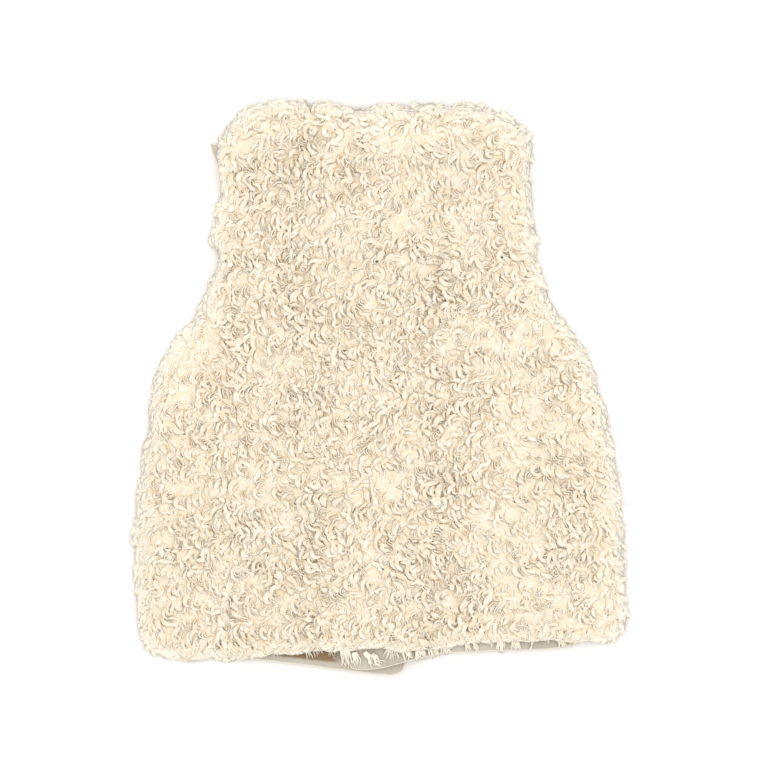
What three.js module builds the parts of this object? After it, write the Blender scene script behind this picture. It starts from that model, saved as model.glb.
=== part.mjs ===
import * as THREE from "three";

// A faux fur vest laid flat with its back up. Three panels of curly fur cloth are sewn at the sides
// and shoulders: the back lies on top with its pile up, and the two open fronts lie under it,
// overlapping at the middle, with their pile down and their suede side up. Each solid is the cloth
// with its pile, as far as the fur reaches. Lengths are in millimetres. X runs across the garment,
// Y from the hem to the shoulders, and Z up. Heights in the tables start at the back's lowest hem.

const frontThickness = 9; // cloth and pile, pressed by the panels above
const backThickness = 21; // cloth and pile, standing free
const seamGap = 0.3; // between panels where they are sewn or lie on each other
const shoulderTip = 537; // height of the armhole's top end
const cornerHeight = 33; // height where the hem's round corner meets the side
const neckHalfWidth = 74;
const frontNeckDepth = 104; // below the shoulder's inner end

const backRim = { radius: 27, edge: 3.5 }; // how the pile rolls over towards an edge
const frontRim = { radius: 13, edge: 2.5 };
const leftFrontEdge = 27; // X of each front's free edge, past the middle
const rightFrontEdge = -38;
const lapRun = 24; // width over which a panel climbs onto the one below
const lapMargin = 3; // from a free edge to the fold beside it

const hemMouth = { middle: -80, halfWidth: 48, lift: 9, depth: 62 }; // where the back's hem stands open
const crown = { from: 125, to: 40 }; // the pile's top rises over the lap between these, out from the middle
const tuft = { pitch: 35, height: 3, reach: 3, waves: 5 }; // soft mounds of curls, up and out from an edge

// Half the garment's width with its fur, at heights up its side.
const sideSections = [
  { height: 33, halfWidth: 252 },
  { height: 100, halfWidth: 252 },
  { height: 160, halfWidth: 251 },
  { height: 234, halfWidth: 241 },
  { height: 285, halfWidth: 231 },
  { height: 304, halfWidth: 225 },
  { height: 322, halfWidth: 213 },
  { height: 348, halfWidth: 195 },
  { height: 373, halfWidth: 181 },
  { height: 411, halfWidth: 168 },
  { height: 480, halfWidth: 163 },
  { height: 537, halfWidth: 160 },
];

// The back's shoulders and neck, out from the middle.
const shoulderLine = [
  { across: 0, height: 573 },
  { across: 45, height: 575 },
  { across: 78, height: 580 },
  { across: 104, height: 577 },
  { across: 128, height: 568 },
  { across: 148, height: 554 },
  { across: 160, height: 537 },
];

// The back's hem, from one round corner to the other. It rises where a front shows below it.
const backHem = [
  { across: -252, height: 33 },
  { across: -243, height: 17 },
  { across: -222, height: 5 },
  { across: -185, height: 0 },
  { across: -129, height: 1 },
  { across: -85, height: 4 },
  { across: -36, height: 7 },
  { across: 5, height: 7 },
  { across: 45, height: 4 },
  { across: 78, height: 9 },
  { across: 150, height: 10 },
  { across: 205, height: 11 },
  { across: 226, height: 11 },
  { across: 243, height: 18 },
  { across: 252, height: 33 },
];

// The fronts' hems, from side to free edge. Each ends in a small round corner.
const leftFrontHem = [
  { across: -252, height: 33 },
  { across: -243, height: 17 },
  { across: -222, height: 5 },
  { across: -185, height: 0 },
  { across: -129, height: -4 },
  { across: -85, height: -9 },
  { across: -38, height: -16 },
  { across: 10, height: -22 },
  { across: 19, height: -20 },
  { across: 25, height: -15 },
  { across: 27, height: -7 },
];
const rightFrontHem = [
  { across: -38, height: -3 },
  { across: -36, height: -10 },
  { across: -30, height: -14.5 },
  { across: -20, height: -15.5 },
  { across: 0, height: -14.5 },
  { across: 25, height: -8 },
  { across: 78, height: 1 },
  { across: 150, height: 4 },
  { across: 214, height: 6 },
  { across: 243, height: 17 },
  { across: 252, height: 33 },
];

// A left front reaches past the back at the shoulder, where its suede side shows.
const shoulderShow = { from: 490, reach: 10 };

const clamp01 = (t) => Math.min(1, Math.max(0, t));

function easeInOut(t) {
  const s = clamp01(t);
  return s * s * (3 - 2 * s);
}

// A smooth curve through a table's rows: the value column as a function of the key column.
function curveThrough(rows, key, value) {
  const slopes = rows.map((row, i) => {
    const before = rows[Math.max(0, i - 1)];
    const after = rows[Math.min(rows.length - 1, i + 1)];
    return (after[value] - before[value]) / (after[key] - before[key]);
  });
  return (at) => {
    const t = Math.min(rows[rows.length - 1][key], Math.max(rows[0][key], at));
    let i = 0;
    while (i < rows.length - 2 && rows[i + 1][key] < t) i += 1;
    const span = rows[i + 1][key] - rows[i][key];
    const s = (t - rows[i][key]) / span;
    const rise = rows[i + 1][value] - rows[i][value];
    const bend = slopes[i] * span * s * (1 - s) ** 2 - slopes[i + 1] * span * s ** 2 * (1 - s);
    return rows[i][value] + rise * easeInOut(s) + bend;
  };
}

const halfWidthAt = curveThrough(sideSections, "height", "halfWidth");
const shoulderAt = curveThrough(shoulderLine, "across", "height");
const backHemAt = curveThrough(backHem, "across", "height");
const leftHemAt = curveThrough(leftFrontHem, "across", "height");
const rightHemAt = curveThrough(rightFrontHem, "across", "height");

// Soft mounds of curls, from -1 to 1. Waves that cross at even angles leave no rows.
function moundAt(x, y) {
  let sum = 0;
  for (let k = 0; k < tuft.waves; k += 1) {
    const turn = (Math.PI * k) / tuft.waves + 0.3;
    sum += Math.sin((2 * Math.PI * (x * Math.cos(turn) + y * Math.sin(turn))) / tuft.pitch + 2 * k);
  }
  return sum / Math.sqrt(2 * tuft.waves);
}

// A front's top line: the shoulder, then the neckline's scoop down to the free edge.
function frontTopAt(x, side, edge) {
  const out = side * x;
  if (out >= neckHalfWidth) return shoulderAt(out);
  const toEdge = side * edge;
  const scoop = Math.sqrt(1 - clamp01((out - toEdge) / (neckHalfWidth - toEdge)) ** 2);
  return shoulderAt(neckHalfWidth) - frontNeckDepth * scoop;
}

// The folds where the fronts overlap, which run straight up the garment.
const rightFrontFolds = [leftFrontEdge + lapMargin, leftFrontEdge + lapMargin + lapRun];
const backFolds = [
  rightFrontEdge - lapMargin - lapRun,
  rightFrontEdge - lapMargin,
  rightFrontFolds[0] + lapRun / 3,
  rightFrontFolds[1] + lapRun / 3,
];

// Positions across a panel's inner face: close together near an outer edge, and on every fold.
const edgeShares = [0, 0.3, 0.55, 0.76, 0.91, 1];
const backMiddle = [-100, -82, backFolds[0], backFolds[1], -19, 3, 20, backFolds[2], backFolds[3], 81, 100];
const rightFrontMiddle = [rightFrontEdge, -24, 3, ...rightFrontFolds, 67, neckHalfWidth];
const leftFrontMiddle = [-neckHalfWidth, -66, -48, -22, 5, 18, leftFrontEdge];

function spread(from, to) {
  return edgeShares.slice(1).map((share) => from + share * (to - from));
}

const backAcross = (halfWidth) => [
  ...spread(backMiddle[0], -halfWidth).reverse(),
  ...backMiddle,
  ...spread(backMiddle.at(-1), halfWidth),
];
const leftFrontAcross = (halfWidth) => [
  ...spread(leftFrontMiddle[0], -halfWidth).reverse(),
  ...leftFrontMiddle,
];
const rightFrontAcross = (halfWidth) => [
  ...rightFrontMiddle,
  ...spread(rightFrontMiddle.at(-1), halfWidth),
];

// The outer face has one more column between each two of the inner face.
function withBetweens(positions) {
  return positions.flatMap((x, i) => (i ? [(x + positions[i - 1]) / 2, x] : [x]));
}

// Rows lie closer together near the hem and the shoulders, where the pile rolls over.
const rowShare = (t) => 0.55 * t + 0.225 * (1 - Math.cos(Math.PI * t));

// A panel's points in plan, as columns of rows from its hem to its top. showAt widens it at a side height.
function layOut({ across, rows, lowAt, highAt, showAt }) {
  const rowsAcross = [];
  for (let j = 0; j <= rows; j += 1) {
    const v = rowShare(j / rows);
    const sideHeight = cornerHeight + v * (shoulderTip - cornerHeight);
    const halfWidth = halfWidthAt(sideHeight) + tuft.reach * moundAt(0, sideHeight) + showAt(sideHeight);
    rowsAcross.push(
      withBetweens(across(halfWidth)).map((x) => [x, lowAt(x) + v * (highAt(x) - lowAt(x))]),
    );
  }
  return rowsAcross[0].map((_, i) => rowsAcross.map((row) => row[i]));
}

// How far a point lies inside an outline.
function insetFrom(outline, x, y) {
  let nearest = Infinity;
  outline.forEach(([ax, ay], i) => {
    const [bx, by] = outline[(i + 1) % outline.length];
    const along = (bx - ax) ** 2 + (by - ay) ** 2 || 1;
    const t = clamp01(((x - ax) * (bx - ax) + (y - ay) * (by - ay)) / along);
    nearest = Math.min(nearest, Math.hypot(x - ax - t * (bx - ax), y - ay - t * (by - ay)));
  });
  return nearest;
}

function shoulderShowAt(height) {
  return shoulderShow.reach * clamp01((height - shoulderShow.from) / (shoulderTip - shoulderShow.from));
}

// The points round a grid's border, anticlockwise seen from above.
function borderOf(columns) {
  const last = columns.length - 1;
  const top = columns[0].length - 1;
  return [
    ...columns.slice(0, last).map((column) => column[0]),
    ...columns[last].slice(0, top),
    ...columns.slice(1).reverse().map((column) => column[top]),
    ...columns[0].slice(1).reverse(),
  ];
}

// How much of its full height the pile has at an inset from the edge, as it rolls over.
function rolled(inset, rim) {
  return Math.sqrt(1 - (1 - clamp01(inset / rim.radius)) ** 2);
}

// A closed panel: a fine outer face, a plain inner face with half its columns and rows, and a rim.
// outerAt and innerAt give each face's height at a point in plan, and pileUp says which is on top.
function fabricPanel({ plan, outerAt, innerAt, pileUp }) {
  const points = [];
  const triangles = [];
  const everySecond = (list) => list.filter((_, i) => i % 2 === 0);
  const place = (columns, heightAt) =>
    columns.map((column) =>
      column.map(([x, y]) => {
        points.push(x, y, heightAt(x, y));
        return points.length / 3 - 1;
      }),
    );
  const face = (a, b, c, outward) => triangles.push(a, ...(outward === pileUp ? [b, c] : [c, b]));
  const skin = (index, outward) => {
    for (let i = 0; i + 1 < index.length; i += 1) {
      for (let j = 0; j + 1 < index[0].length; j += 1) {
        face(index[i][j], index[i + 1][j], index[i + 1][j + 1], outward);
        face(index[i][j], index[i + 1][j + 1], index[i][j + 1], outward);
      }
    }
  };
  const outer = place(plan, outerAt);
  const inner = place(everySecond(plan).map(everySecond), innerAt);
  skin(outer, true);
  skin(inner, false);
  const fine = borderOf(outer);
  const plain = borderOf(inner);
  plain.forEach((start, k) => {
    const end = plain[(k + 1) % plain.length];
    const [first, middle, last] = [2 * k, 2 * k + 1, (2 * k + 2) % fine.length].map((n) => fine[n]);
    face(start, middle, first, true);
    face(start, end, middle, true);
    face(end, last, middle, true);
  });
  const geometry = new THREE.BufferGeometry();
  geometry.setAttribute("position", new THREE.Float32BufferAttribute(points, 3));
  geometry.setIndex(triangles);
  geometry.computeVertexNormals();
  return geometry;
}

// How far the back's hem stands open above the fronts.
function openAt(x, y) {
  const across = Math.cos((Math.PI / 2) * Math.min(1, Math.abs(x - hemMouth.middle) / hemMouth.halfWidth));
  return hemMouth.lift * across * (1 - easeInOut(y / hemMouth.depth));
}

// The back's underside lies on one front at the sides and on both over the lap.
function backUnderside(x, y) {
  const single = frontThickness + seamGap;
  const [leftFoot, leftTop, rightTop, rightFoot] = backFolds;
  const leftClimb = clamp01((x - leftFoot) / (leftTop - leftFoot));
  const rightClimb = clamp01((rightFoot - x) / (rightFoot - rightTop));
  return single * (1 + leftClimb * rightClimb) + openAt(x, y);
}

// The back's pile before it rolls over at the edges, level but for a soft crown over the lap.
function backPileTop(x, y) {
  const single = frontThickness + seamGap;
  const lift = easeInOut((crown.from - Math.abs(x)) / (crown.from - crown.to));
  return single * (1 + lift) + backThickness + openAt(x, y);
}

// How far the right front stands off the table, where it climbs onto the left front.
function lapLift(x) {
  const [top, foot] = rightFrontFolds;
  return (frontThickness + seamGap) * clamp01((foot - x) / (foot - top));
}

function backPanel() {
  const plan = layOut({
    across: backAcross,
    rows: 42,
    lowAt: (x) => backHemAt(x) + tuft.reach * moundAt(x, 0),
    highAt: (x) => shoulderAt(Math.abs(x)) + tuft.reach * moundAt(x, shoulderTip),
    showAt: () => 0,
  });
  const outline = borderOf(plan);
  const geometry = fabricPanel({
    plan,
    pileUp: true,
    innerAt: backUnderside,
    outerAt: (x, y) => {
      const low = backUnderside(x, y);
      const share = rolled(insetFrom(outline, x, y), backRim);
      const mound = tuft.height * moundAt(x, y) * clamp01(2 * share - 1);
      return low + backRim.edge + share * (backPileTop(x, y) - backRim.edge - low) + mound;
    },
  });
  return new THREE.Mesh(geometry, furCloth(0xede1c9));
}

function frontPanel({ side, edge, across, hemAt, liftAt, showAt }) {
  const plan = layOut({ across, rows: 28, lowAt: hemAt, highAt: (x) => frontTopAt(x, side, edge), showAt });
  const outline = borderOf(plan);
  const geometry = fabricPanel({
    plan,
    pileUp: false,
    innerAt: (x) => liftAt(x) + frontThickness,
    outerAt: (x, y) => {
      const share = rolled(insetFrom(outline, x, y), frontRim);
      return liftAt(x) + (frontThickness - frontRim.edge) * (1 - share);
    },
  });
  return new THREE.Mesh(geometry, furCloth(0xe6dac3));
}

function furCloth(color) {
  return new THREE.MeshStandardMaterial({ color, roughness: 0.95, metalness: 0 });
}

const vest = new THREE.Group();
const panels = {
  back: backPanel(),
  front_left: frontPanel({
    side: -1,
    edge: leftFrontEdge,
    across: leftFrontAcross,
    hemAt: leftHemAt,
    liftAt: () => 0,
    showAt: shoulderShowAt,
  }),
  front_right: frontPanel({
    side: 1,
    edge: rightFrontEdge,
    across: rightFrontAcross,
    hemAt: rightHemAt,
    liftAt: lapLift,
    showAt: () => 0,
  }),
};
for (const [name, mesh] of Object.entries(panels)) {
  mesh.name = name;
  vest.add(mesh);
}

// The origin is under the middle of the whole garment, on the surface that it lies on.
const middle = new THREE.Box3().setFromObject(vest).getCenter(new THREE.Vector3());
for (const mesh of vest.children) mesh.position.y = -middle.y;

export default vest;
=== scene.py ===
import math
import bpy
import numpy as np
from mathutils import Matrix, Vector
from mathutils.bvhtree import BVHTree


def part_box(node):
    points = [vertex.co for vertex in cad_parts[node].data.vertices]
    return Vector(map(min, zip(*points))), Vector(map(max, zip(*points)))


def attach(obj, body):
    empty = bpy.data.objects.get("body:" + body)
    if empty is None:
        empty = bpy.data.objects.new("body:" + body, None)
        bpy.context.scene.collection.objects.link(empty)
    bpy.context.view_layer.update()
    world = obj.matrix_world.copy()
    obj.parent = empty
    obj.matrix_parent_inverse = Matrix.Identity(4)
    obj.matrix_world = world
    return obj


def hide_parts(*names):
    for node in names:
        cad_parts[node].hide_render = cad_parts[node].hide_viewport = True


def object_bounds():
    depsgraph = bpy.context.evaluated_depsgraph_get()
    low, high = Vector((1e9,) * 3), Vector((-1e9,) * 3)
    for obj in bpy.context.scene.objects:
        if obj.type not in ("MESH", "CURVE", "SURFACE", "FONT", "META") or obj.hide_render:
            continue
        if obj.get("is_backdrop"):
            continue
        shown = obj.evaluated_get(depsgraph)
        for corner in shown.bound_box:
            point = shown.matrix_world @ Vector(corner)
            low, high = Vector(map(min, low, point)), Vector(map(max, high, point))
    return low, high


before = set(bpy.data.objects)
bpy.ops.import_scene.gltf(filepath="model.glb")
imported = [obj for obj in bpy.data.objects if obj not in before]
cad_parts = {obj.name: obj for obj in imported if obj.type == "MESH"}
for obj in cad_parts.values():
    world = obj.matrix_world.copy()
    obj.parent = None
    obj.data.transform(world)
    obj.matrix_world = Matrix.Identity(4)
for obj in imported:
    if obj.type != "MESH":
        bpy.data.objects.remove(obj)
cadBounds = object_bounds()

millimetre = 0.001
scene = bpy.context.scene


# camera, straight above the vest
camera = {
    "frameWidth": 806.4,     # mm across the picture, at the height of the pile
    "pileHeight": 20,        # mm
    "distance": 6000,        # mm above the pile
    "aim": (8.3, 4.9),       # mm from the vest's middle
    "lean": -1.0,            # degrees, the vest lies turned a little to the left
    "sensor": 36,
}


def makeCamera(cfg):
    data = bpy.data.cameras.new("camera")
    data.sensor_width = cfg["sensor"]
    data.lens = cfg["sensor"] * cfg["distance"] / cfg["frameWidth"]
    obj = bpy.data.objects.new("camera", data)
    height = cfg["distance"] + cfg["pileHeight"]
    obj.location = Vector((*cfg["aim"], height)) * millimetre
    obj.rotation_euler = (0, 0, math.radians(cfg["lean"]))
    scene.collection.objects.link(obj)
    scene.camera = obj


makeCamera(camera)
print("camera ready")


# shader nodes
class Wire:
    # a node's output that plain Python maths can use
    def __init__(self, net, socket):
        self.net = net
        self.socket = socket

    def sum(self, operation, *values):
        return self.net.node("ShaderNodeMath", {"operation": operation}, dict(enumerate(values)))

    def __add__(self, other):
        return self.sum("ADD", self, other)

    def __radd__(self, other):
        return self.sum("ADD", other, self)

    def __sub__(self, other):
        return self.sum("SUBTRACT", self, other)

    def __rsub__(self, other):
        return self.sum("SUBTRACT", other, self)

    def __mul__(self, other):
        return self.sum("MULTIPLY", self, other)

    def __rmul__(self, other):
        return self.sum("MULTIPLY", other, self)

    def sine(self):
        return self.sum("SINE", self)


class Net:
    def __init__(self, name):
        self.material = bpy.data.materials.new(name)
        self.material.use_nodes = True
        self.tree = self.material.node_tree
        self.tree.nodes.clear()

    # any node: settings first, then values or links by socket name or number
    def node(self, kind, settings=None, sockets=None, output=0):
        made = self.tree.nodes.new(kind)
        for key, value in (settings or {}).items():
            if key == "stops":
                self.setStops(made.color_ramp, value)
            else:
                setattr(made, key, value)
        for key, value in (sockets or {}).items():
            if isinstance(value, Wire):
                self.tree.links.new(value.socket, made.inputs[key])
            else:
                made.inputs[key].default_value = value
        return Wire(self, made.outputs[output])

    def setStops(self, ramp, stops):
        while len(ramp.elements) < len(stops):
            ramp.elements.new(0.5)
        for element, (place, value) in zip(ramp.elements, stops):
            element.position = place
            element.color = (value, value, value, 1) if isinstance(value, (int, float)) else value

    def blend(self, factor, first, second):
        settings = {"data_type": "RGBA", "blend_type": "MIX", "clamp_factor": True}
        return self.node("ShaderNodeMix", settings, {0: factor, 6: first, 7: second}, output=2)

    def ramp(self, value, stops):
        return self.node("ShaderNodeValToRGB", {"stops": stops}, {"Fac": value})

    def noise(self, place, scale, detail=3.0, roughness=0.5):
        sockets = {"Vector": place, "Scale": scale, "Detail": detail, "Roughness": roughness}
        return self.node("ShaderNodeTexNoise", None, sockets, output="Fac")

    # from 0 to 1 as a value goes from low to high
    def span(self, value, low, high):
        settings = {"interpolation_type": "SMOOTHSTEP"}
        sockets = {"Value": value, "From Min": low, "From Max": high}
        return self.node("ShaderNodeMapRange", settings, sockets, output="Result")

    def bump(self, height, strength, depth):
        sockets = {"Strength": strength, "Distance": depth, "Height": height}
        return self.node("ShaderNodeBump", None, sockets, output="Normal")

    def place(self):
        return self.node("ShaderNodeTexCoord", output="Object")

    def attribute(self, name):
        return self.node("ShaderNodeAttribute", {"attribute_name": name}, output="Fac")

    def finish(self, colour, roughness, normal, fixed):
        links = {"Base Color": colour, "Roughness": roughness, "Normal": normal}
        shader = self.node("ShaderNodeBsdfPrincipled", None, {**fixed, **links}, output="BSDF")
        end = self.tree.nodes.new("ShaderNodeOutputMaterial")
        self.tree.links.new(shader.socket, end.inputs["Surface"])
        return self.material


def srgb(red, green, blue):
    def linear(value):
        share = value / 255
        return share / 12.92 if share < 0.04045 else ((share + 0.055) / 1.055) ** 2.4

    return (linear(red), linear(green), linear(blue), 1)


woolLook = {
    # the darker root and line colours are painted shade in the locks, the paler tip painted light on them
    "root": srgb(248, 228, 188),
    "body": srgb(246, 238, 222),
    "tip": srgb(247, 241, 228),
    "warm": srgb(245, 232, 209),
    "line": srgb(233, 206, 166),
    "paintedRimLight": srgb(255, 247, 230),    # at the rim, painted light
    "roughness": 0.72,
    "sheen": 0.25,
    "sheenTint": srgb(255, 246, 230),
    "patches": 22.0,         # noise scale
    "bump": (0.8, 0.0014),   # strength, and depth in m
}


def makeWool(name, cfg, white=0.0):
    net = Net(name)
    along = net.attribute("along")
    tone = net.attribute("tone")
    pale = net.attribute("pale")
    fibre = net.node("ShaderNodeUVMap", {"uv_map": "fibre"})
    lines = net.noise(fibre, 1.0, detail=2.0, roughness=0.6)
    patches = net.noise(net.place(), cfg["patches"], detail=2.0)
    # painted shade and light: darker and warmer towards the root, deep in the pile, and a little paler at
    # the tip
    upward = net.ramp(along, [(0.0, 0.0), (0.2, 0.5), (0.5, 1.0)])
    colour = net.blend(upward, cfg["root"], cfg["body"])
    colour = net.blend(net.ramp(along, [(0.55, 0.0), (1.0, 0.85)]), colour, cfg["tip"])
    colour = net.blend(net.ramp(tone, [(0.45, 0.0), (1.0, 0.75)]), colour, cfg["warm"])
    colour = net.blend(net.ramp(patches, [(0.45, 0.0), (0.75, 0.3)]), colour, cfg["warm"])
    # painted shade: the line colour darkens the grooves between the fibres, where the bump dips
    colour = net.blend(net.ramp(lines, [(0.36, 0.75), (0.52, 0.0)]), colour, cfg["line"])
    # painted light: paler towards the rim, more so towards a strand's tip, and whiter still for the whiter
    # wool
    colour = net.blend(pale * (0.6 + 0.7 * along) + white, colour, cfg["paintedRimLight"])
    fixed = {
        "Sheen Weight": cfg["sheen"],
        "Sheen Roughness": 0.45,
        "Sheen Tint": cfg["sheenTint"],
        "Specular IOR Level": 0.3,
    }
    return net.finish(colour, cfg["roughness"] - 0.12 * lines, net.bump(lines, *cfg["bump"]), fixed)


suedeLook = {
    "light": srgb(207, 200, 186),
    "dark": srgb(183, 174, 157),
    "brushed": srgb(219, 213, 201),
    # painted shadow: the brown of the hem's mouth, under the back's raised hem
    "shade": srgb(140, 108, 70),
    "broad": 14.0,           # noise scales
    "nap": 420.0,
    "grain": 2200.0,
    "ragged": 120.0,
    "mouth": (-0.118, -0.04),    # m, from side to side
    "hemStart": -0.300,          # m, where the left front's hem line would cross the middle
    "hemSlope": -0.127,
    "band": (0.005, 0.0085),     # m up from that line, where the shade starts and is full
    "fade": (0.02, 0.012),       # m at the mouth's left and right ends
    "shadeShare": 0.85,
    "roughness": 0.82,
    "bump": (0.6, 0.0004),
}


def makeSuede(name, cfg, shaded=False):
    net = Net(name)
    place = net.place()
    broad = net.noise(place, cfg["broad"], detail=3.0)
    nap = net.noise(place, cfg["nap"], detail=5.0, roughness=0.7)
    grain = net.noise(place, cfg["grain"], detail=2.0)
    colour = net.blend(net.ramp(broad, [(0.35, 0.0), (0.68, 1.0)]), cfg["light"], cfg["dark"])
    colour = net.blend(net.ramp(nap, [(0.45, 0.0), (0.72, 0.6)]), colour, cfg["brushed"])
    colour = net.blend(net.ramp(grain, [(0.3, 0.35), (0.6, 0.0)]), colour, cfg["dark"])
    # painted shadow: a brown band on the left front's suede in the hem's mouth, rising from its hem line,
    # where the back's raised hem shades it
    if shaded:
        x, y = (net.node("ShaderNodeSeparateXYZ", None, {"Vector": place}, output=axis) for axis in "XY")
        ragged = 0.004 * (net.noise(place, cfg["ragged"]) - 0.5)
        up = y - cfg["hemStart"] - x * cfg["hemSlope"] + ragged
        low, high = cfg["mouth"]
        lowFade, highFade = cfg["fade"]
        inMouth = net.span(x, low, low + lowFade) * (1 - net.span(x, high - highFade, high))
        shade = cfg["shadeShare"] * inMouth * net.span(up, *cfg["band"])
        colour = net.blend(shade, colour, cfg["shade"])
    bump = net.bump(nap * 0.7 + grain * 0.3, *cfg["bump"])
    fixed = {"Sheen Weight": 0.35, "Sheen Roughness": 0.5, "Specular IOR Level": 0.15}
    return net.finish(colour, cfg["roughness"] + 0.12 * nap, bump, fixed)


matLook = {
    # deep is painted shade in the curls' hollows
    "deep": srgb(244, 225, 192),
    "high": srgb(248, 239, 222),
    "swirl": 70.0,           # noise scale of the wave that the matted curls follow
    "curls": 64.0,           # more is finer curls
    "ragged": 420.0,         # noise scales
    "broad": 40.0,
    "paintedRimLight": woolLook["paintedRimLight"],
    "roughness": 0.9,
    "bump": (0.8, 0.0007),
}


def makeMat(name, cfg):
    net = Net(name)
    place = net.place()
    swirl = net.noise(place, cfg["swirl"], detail=1.5, roughness=0.4)
    ragged = net.noise(place, cfg["ragged"], detail=3.0, roughness=0.6)
    curls = 0.5 + 0.5 * (swirl * cfg["curls"] + 2.0 * ragged).sine()
    broad = net.noise(place, cfg["broad"], detail=2.0)
    # painted shade: the deep colour fills the curls' hollows, where the bump dips
    colour = net.blend(net.ramp(curls, [(0.05, 0.0), (0.55, 1.0)]), cfg["deep"], cfg["high"])
    colour = net.blend(net.ramp(broad, [(0.4, 0.0), (0.7, 0.4)]), colour, cfg["deep"])
    # painted light: paler towards the rim, as the locks are
    colour = net.blend(0.9 * net.attribute("pale"), colour, cfg["paintedRimLight"])
    fixed = {"Sheen Weight": 0.2, "Specular IOR Level": 0.1}
    return net.finish(colour, cfg["roughness"] - 0.1 * curls, net.bump(curls, *cfg["bump"]), fixed)


edgeLook = {
    "dark": srgb(228, 214, 186),
    "light": srgb(250, 240, 220),
    "fuzz": 900.0,
    "roughness": 0.9,
    "bump": (0.7, 0.0005),
}


def makeEdge(name, cfg):
    net = Net(name)
    fuzz = net.noise(net.place(), cfg["fuzz"], detail=4.0, roughness=0.7)
    colour = net.blend(fuzz, cfg["dark"], cfg["light"])
    fixed = {"Sheen Weight": 0.3}
    return net.finish(colour, cfg["roughness"] - 0.1 * fuzz, net.bump(fuzz, *cfg["bump"]), fixed)


wool = makeWool("cream wool", woolLook)
# whiter wool for the hem's tufts and the rim's low strands: painted light at the edge
whiteWool = makeWool("hem wool", woolLook, white=0.65)
suede = makeSuede("suede", suedeLook)
# the left front's suede, with the painted shadow in the hem's mouth
shadedSuede = makeSuede("left front suede", suedeLook, shaded=True)
matted = makeMat("matted wool", matLook)
cutEdge = makeEdge("cut edge", edgeLook)
print("materials ready")


# the solids' forms, read from the frame
clearOf = 10                 # mm above or below a solid, where a ray starts
halvings = 14


class Solid:
    def __init__(self, name):
        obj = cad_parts[name]
        points = [v.co for v in obj.data.vertices]
        faces = [tuple(p.vertices) for p in obj.data.polygons]
        self.tree = BVHTree.FromPolygons(points, faces)
        self.low, self.high = (np.array(corner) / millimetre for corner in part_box(name))

    def cast(self, x, y, downward):
        level = self.high[2] + clearOf if downward else self.low[2] - clearOf
        start = Vector((x, y, level)) * millimetre
        hit = self.tree.ray_cast(start, Vector((0, 0, -1 if downward else 1)))[0]
        return None if hit is None else hit.z / millimetre

    # how far the solid reaches from a point inside it, along one way
    def reach(self, start, way, most):
        near, far = 0.0, most
        for _ in range(halvings):
            middle = (near + far) / 2
            if self.cast(start[0] + way[0] * middle, start[1] + way[1] * middle, True) is None:
                far = middle
            else:
                near = middle
        return near


backSolid = Solid("back")
leftSolid = Solid("front_left")
rightSolid = Solid("front_right")


# a panel's heights on a grid, so that many points can be looked up at once
class HeightMap:
    pitch = 3.0              # mm
    grownBy = 16             # cells past the solid's outline

    def __init__(self, solid, downward):
        pitch = self.pitch
        self.low = solid.low[:2] - 2 * pitch
        counts = np.ceil((solid.high[:2] + 2 * pitch - self.low) / pitch).astype(int) + 1
        heights = np.full(counts, np.nan)
        for i in range(counts[0]):
            for j in range(counts[1]):
                hit = solid.cast(self.low[0] + i * pitch, self.low[1] + j * pitch, downward)
                if hit is not None:
                    heights[i, j] = hit
        for _ in range(self.grownBy):
            heights = self.grown(heights)
        self.heights = np.where(np.isnan(heights), np.nanmean(heights), heights)

    # gives each empty cell beside a filled one the mean of its filled neighbours
    def grown(self, heights):
        padded = np.pad(heights, 1, constant_values=np.nan)
        around = np.stack([padded[:-2, 1:-1], padded[2:, 1:-1], padded[1:-1, :-2], padded[1:-1, 2:]])
        filled = ~np.isnan(around)
        total = np.where(filled, around, 0).sum(0)
        count = filled.sum(0)
        mean = np.where(count > 0, total / np.maximum(count, 1), np.nan)
        return np.where(np.isnan(heights), mean, heights)

    def at(self, x, y):
        u = np.clip((x - self.low[0]) / self.pitch, 0, self.heights.shape[0] - 1.001)
        v = np.clip((y - self.low[1]) / self.pitch, 0, self.heights.shape[1] - 1.001)
        i, j = u.astype(int), v.astype(int)
        s, t = u - i, v - j
        h = self.heights
        lower = h[i, j] * (1 - s) + h[i + 1, j] * s
        upper = h[i, j + 1] * (1 - s) + h[i + 1, j + 1] * s
        return lower * (1 - t) + upper * t


# shares from 0 to 1 that crowd at a panel's free side
def crowded(count, freeSide):
    share = np.linspace(0, 1, count)
    if freeSide > 0:
        return np.sin(share * math.pi / 2)
    return 1 - np.cos(share * math.pi / 2) if freeSide < 0 else share


# where the panels' outlines are measured, in mm
measured = {
    "levels": 120,
    "lowest": 30,            # above the hem
    "highest": 256,
    "ends": 5,               # in from the furthest points to the sides
    "start": 150,            # up and down from the middle, where the way to the top and the hem starts
    "shoulder": 159,         # to each side, past which the top stays level
    "freeInset": 0.3,        # in from a free edge
    "mostAcross": 300,
    "mostAlong": 200,
}


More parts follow.
